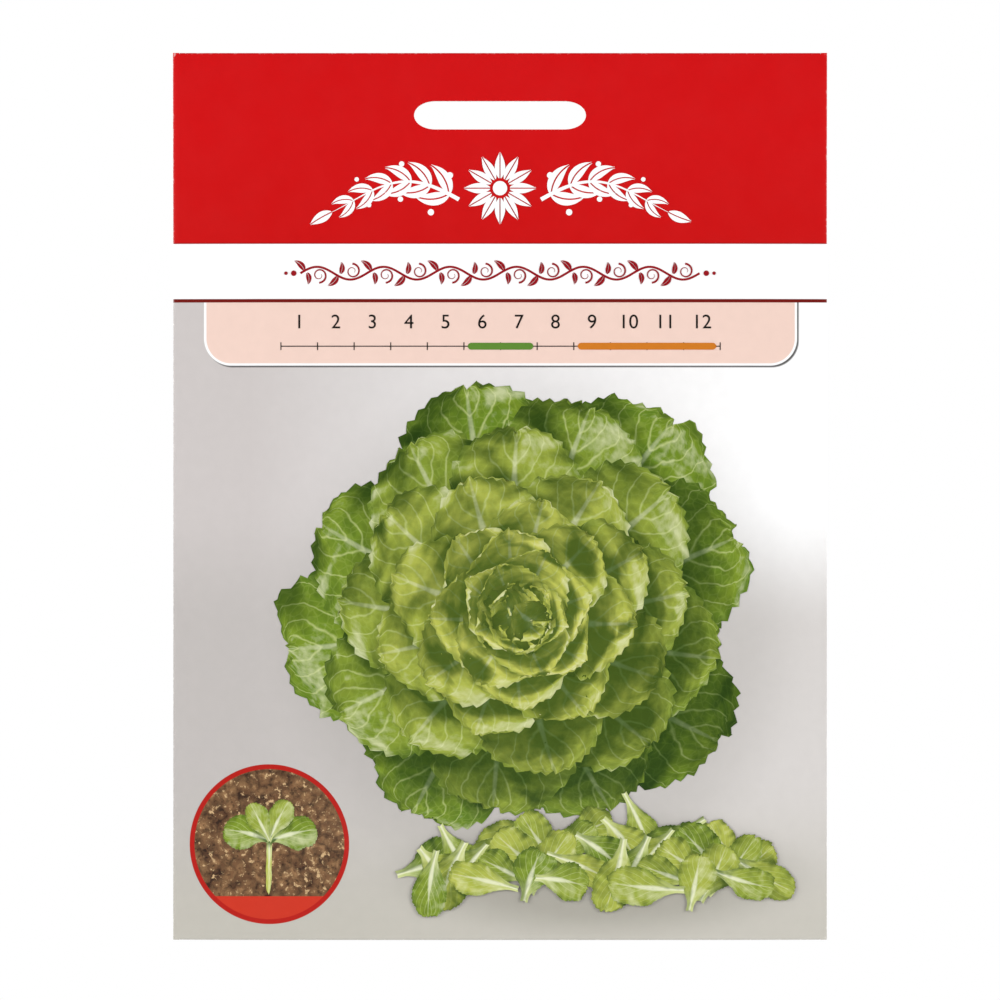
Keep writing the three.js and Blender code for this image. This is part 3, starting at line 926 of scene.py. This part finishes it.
def add_season_bar(bm, season, y, half):
    """A bar with round ends, from the season's first month to its last."""
    x0, x1 = month_place(season[0]) - 2.6, month_place(season[1]) + 2.6

    def width(t):
        inset = min(t, 1 - t) * (x1 - x0)
        return half if inset > half else sqrt(max(0.02, half**2 - (half - inset) ** 2))

    line(bm, (x0, y), (x1, y), width, 80)


months = bmesh.new()
add_months(months, 2.2, 3.6, (SCALE_LINE,), 0.09, ticks=(-2.8, -1.4), tick_half=0.09, tick_steps=2)
print_shapes(months, "month_numbers", black_ink, SCALE_PLACE)
for name, ink, season in (("sowing", green_ink, SOWING), ("harvest", amber_ink, HARVEST)):
    bar = bmesh.new()
    add_season_bar(bar, season, SCALE_LINE, 0.62)
    bmesh.ops.translate(bar, verts=bar.verts, vec=(0, 0, 0.03))
    print_shapes(bar, name + "_bar", ink, SCALE_PLACE)

# ---- Back of the packet ----
# The back panel carries a planting calendar, three planting pictures and a ruler, all in solid inks.
# Only their numbers are lettering. It is printed flat with the rest of the blank, before folding.

BACK_PLACE = (0, -78)
PICTURES, PICTURE_MIDDLE, PICTURE_RADIUS = (-30, 0, 30), -14, 12.4  # across, up, and their rings
RULER_HALF, RULER_FOOT = 45, -50
SOIL_LEVEL = -20

print_sprig("back_sprig", green_ink, (0, -24), 0.8, back_y)

back_lines = bmesh.new()
CALENDAR = (27.4, 20.4, 13.4)  # where its lines run
add_months(back_lines, 30.5, 3.8, CALENDAR, 0.1, (CALENDAR[-1], CALENDAR[0]), tick_half=0.08, tick_steps=12)

# A ruler for sowing depth and spacing, in centimetres, with a tick every 2 mm.
line(back_lines, (-RULER_HALF, RULER_FOOT), (RULER_HALF, RULER_FOOT), 0.1, 60)
for tick in range(RULER_HALF + 1):
    x, rise = 2 * tick - RULER_HALF, 3 if tick % 5 == 0 else 1.6
    line(back_lines, (x, RULER_FOOT), (x, RULER_FOOT + rise), 0.08, 2)
    if tick % 5 == 0:
        add_number(back_lines, tick // 5, x, RULER_FOOT + 5, 3)
for step, x in enumerate(PICTURES):

    def ring(t):
        return Vector((x, PICTURE_MIDDLE)) + at_angle(2 * pi * t, PICTURE_RADIUS)

    ribbon(back_lines, ring, 0.16, steps=64)
    add_number(back_lines, step + 1, x, PICTURE_MIDDLE - 17, 5)
print_shapes(back_lines, "back_numbers", black_ink, BACK_PLACE, back_y)

# One seedling in the second picture, and two taller plants in the third, with leaves in pairs.
back_green = bmesh.new()
add_season_bar(back_green, SOWING, 23.9, 1.3)
for x, pairs in ((0, (5,)), (25, (3, 6.6, 9.6)), (35, (3, 6.6, 9.6))):
    line(back_green, (x, SOIL_LEVEL + 0.3), (x, SOIL_LEVEL + 0.4 + pairs[-1]), 0.3, 12)
    for height in pairs:
        for side in (-1, 1):
            lean, size = pi / 2 - side * 1.05, 4.6 - 0.12 * height
            add_sprig_leaf(back_green, (x, SOIL_LEVEL + height), lean, size, 0.24 * size, 0.4 * side, 0.2)
print_shapes(back_green, "back_green", green_ink, BACK_PLACE, back_y)

back_amber = bmesh.new()
add_season_bar(back_amber, HARVEST, 16.9, 1.3)
print_shapes(back_amber, "back_amber", amber_ink, BACK_PLACE, back_y)

# Furrowed soil fills the foot of each ring, and three seeds drop onto the first.
back_brown = bmesh.new()
soil_drop = PICTURE_MIDDLE - SOIL_LEVEL
soil_half = sqrt(PICTURE_RADIUS**2 - soil_drop**2)


def furrows(t):
    return 0.5 * cos(8 * pi * (t - 0.5)) * sin(pi * t)


def soil_depth(t):
    return max(0.02, sqrt(PICTURE_RADIUS**2 - (soil_half * (2 * t - 1)) ** 2) - soil_drop)


for x in PICTURES:
    ribbon(back_brown, lambda t: (x + soil_half * (2 * t - 1), SOIL_LEVEL), furrows, soil_depth, 60)
for root in ((-33, -17.4), (-29.4, -16.2), (-26.6, -17.6)):
    add_sprig_leaf(back_brown, root, radians(70), 2.6, 0.7, 0, 0.12)
print_shapes(back_brown, "back_soil", brown_ink, BACK_PLACE, back_y)

print_sprig("flap_sprig", white_ink, (0, -9.6), 0.55, flap_y)

# ---- Adhesive under the seam and the flaps ----
# Cold glue runs in a strip along the side seam and under each flap. It is a film of 0.04 mm that
# has dried slightly yellow, with small bubbles.

GLUE = 0.04
GLUE_STRIPS = (  # node, from and to sideways, from and to upwards, and the layer it lies on
    ("seam_glue", (SIDE - 10, SIDE - 2), (BOTTOM + 4, TOP - 4), 0),
    ("top_flap_glue", (-53, 53), (TOP - 22.5, TOP - 16.5), LAYER),
    ("bottom_flap_glue", (-53, 53), (BOTTOM + 2.5, BOTTOM + 9.5), LAYER),
)


# Dried dispersion glue, rolled on: translucent cream with a soft shine and pin-head bubbles.
def dried_glue(tree):
    place = place_on_packet(tree)
    bubbles = add(tree, "TexVoronoi", Vector=place, Scale=1.5)
    patches = add(tree, "TexNoise", Vector=place, Scale=0.3, Detail=3)
    return {
        "Base Color": overprint(tree, "E8DFC2", "D9CC9F", patches),
        "Roughness": 0.35,
        "Normal": add(tree, "Bump", Height=bubbles, Distance=0.00002),
    }


glue = make_material("dried_dispersion_glue", dried_glue)
for node, (x0, x1), (z0, z1), y in GLUE_STRIPS:
    strip = bmesh.new()
    steps = [round(size / 2) for size in (x1 - x0, z1 - z0)]
    for v in bmesh.ops.create_grid(strip, x_segments=steps[0], y_segments=steps[1], size=0.5)["verts"]:
        ragged = 0.35 * noise.noise(Vector((v.co.x * 60, v.co.y * 60, 3)))
        x = x0 + (v.co.x + 0.5) * (x1 - x0) + ragged
        z = z0 + (v.co.y + 0.5) * (z1 - z0) + ragged
        v.co = (x, bend(x, z) + y + GLUE / 2, z)
    make_film(strip, GLUE)
    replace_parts(finish_piece(strip, node + "_film", [glue]), node)

# ---- Foil sachet ----
# Two webs of aluminium and paper laminate, heat-sealed round all four sides in a ribbed margin.
# They puff out over the seed and crease where the sachet was filled.

FOIL, SEAL = 0.05, 5
SEALED_HALF = 0.065  # from the sachet's middle to the front of each web, where they are sealed
POUCH = (SACHET_HALF - SEAL, SACHET_TOP - SEAL, SACHET_BOTTOM + SEAL)
WEBS = (("sachet_front_foil", -1, 1.6), ("sachet_back_foil", 1, 1.2))  # node, side and swell


# Foil laminate: satin aluminium under lacquer, with a fine grain from rolling and a ribbed seal.
def foil_laminate(tree):
    place = place_on_packet(tree)
    creases = add(tree, "TexNoise", Vector=place, Scale=0.18, Detail=6, Distortion=0.8)
    rolled = add(tree, "VectorMath", (place, (14, 1, 0.6)), operation="MULTIPLY")
    grain = add(tree, "TexNoise", Vector=rolled, Scale=1.0, Detail=3)
    half, top, bottom = POUCH
    from_pouch = rounded_box(tree, place, (0, (top + bottom) / 2), (half, (top - bottom) / 2), 2)
    in_seal = inked_above(tree, from_pouch, 0)
    ribs = add(tree, "TexWave", Vector=place, Scale=0.28, out="Fac", bands_direction="DIAGONAL")
    relief = add(tree, "Math", (in_seal, ribs, creases), operation="MULTIPLY_ADD")
    return {
        "Base Color": overprint(tree, "C4C7CB", "DADCDF", grain),
        "Metallic": 0.9,
        "Roughness": add(tree, "MapRange", (grain, 0, 1, 0.26, 0.38)),
        "Normal": add(tree, "Bump", Height=relief, Distance=0.00012),
    }


foil = make_material("aluminium_paper_laminate", foil_laminate)
for node, side, swell in WEBS:
    web = bmesh.new()
    for v in bmesh.ops.create_grid(web, x_segments=66, y_segments=80, size=1)["verts"]:
        x = v.co.x * SACHET_HALF
        z = SACHET_BOTTOM + (v.co.y + 1) / 2 * (SACHET_TOP - SACHET_BOTTOM)
        full = fullness(x, z, POUCH)
        dent = 0.22 * min(1, 4 * full) * noise.noise(Vector((x / 7, z / 9, 5 * side)))
        v.co = (x, bend(x, z) - LAYER / 2 + side * (SEALED_HALF + swell * full) + dent * full, z)
    make_film(web, FOIL)
    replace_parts(finish_piece(web, node + "_web", [foil]), node)

# ---- Seeds ----
# Chicory seeds are dry five-angled fruits, buff to dark brown, blunt at the head and ribbed along
# their length. They lie loose in the sachet, as the frame places them.


# Dry husk: matt, woody and flecked, each seed a different brown.
def seed_husk(tree):
    place = place_on_packet(tree)
    each = add(tree, "TexNoise", Vector=place, Scale=0.26, Detail=1)
    husk = graded(tree, "5B4330", "D2B07E", each, 0.35, 0.65)
    flecks = add(tree, "TexNoise", Vector=place, Scale=3.2, Detail=4, Roughness=0.7)
    return {
        "Base Color": graded(tree, husk, "3B2A1E", flecks, 0.45, 0.68, 0.7),
        "Roughness": 0.8,
        "Normal": add(tree, "Bump", Height=flecks, Distance=0.00004),
    }


husk = make_material("dry_seed_husk", seed_husk)
for name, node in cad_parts.items():
    if name.startswith("seed_"):
        node.data.materials.clear()
        node.data.materials.append(husk)
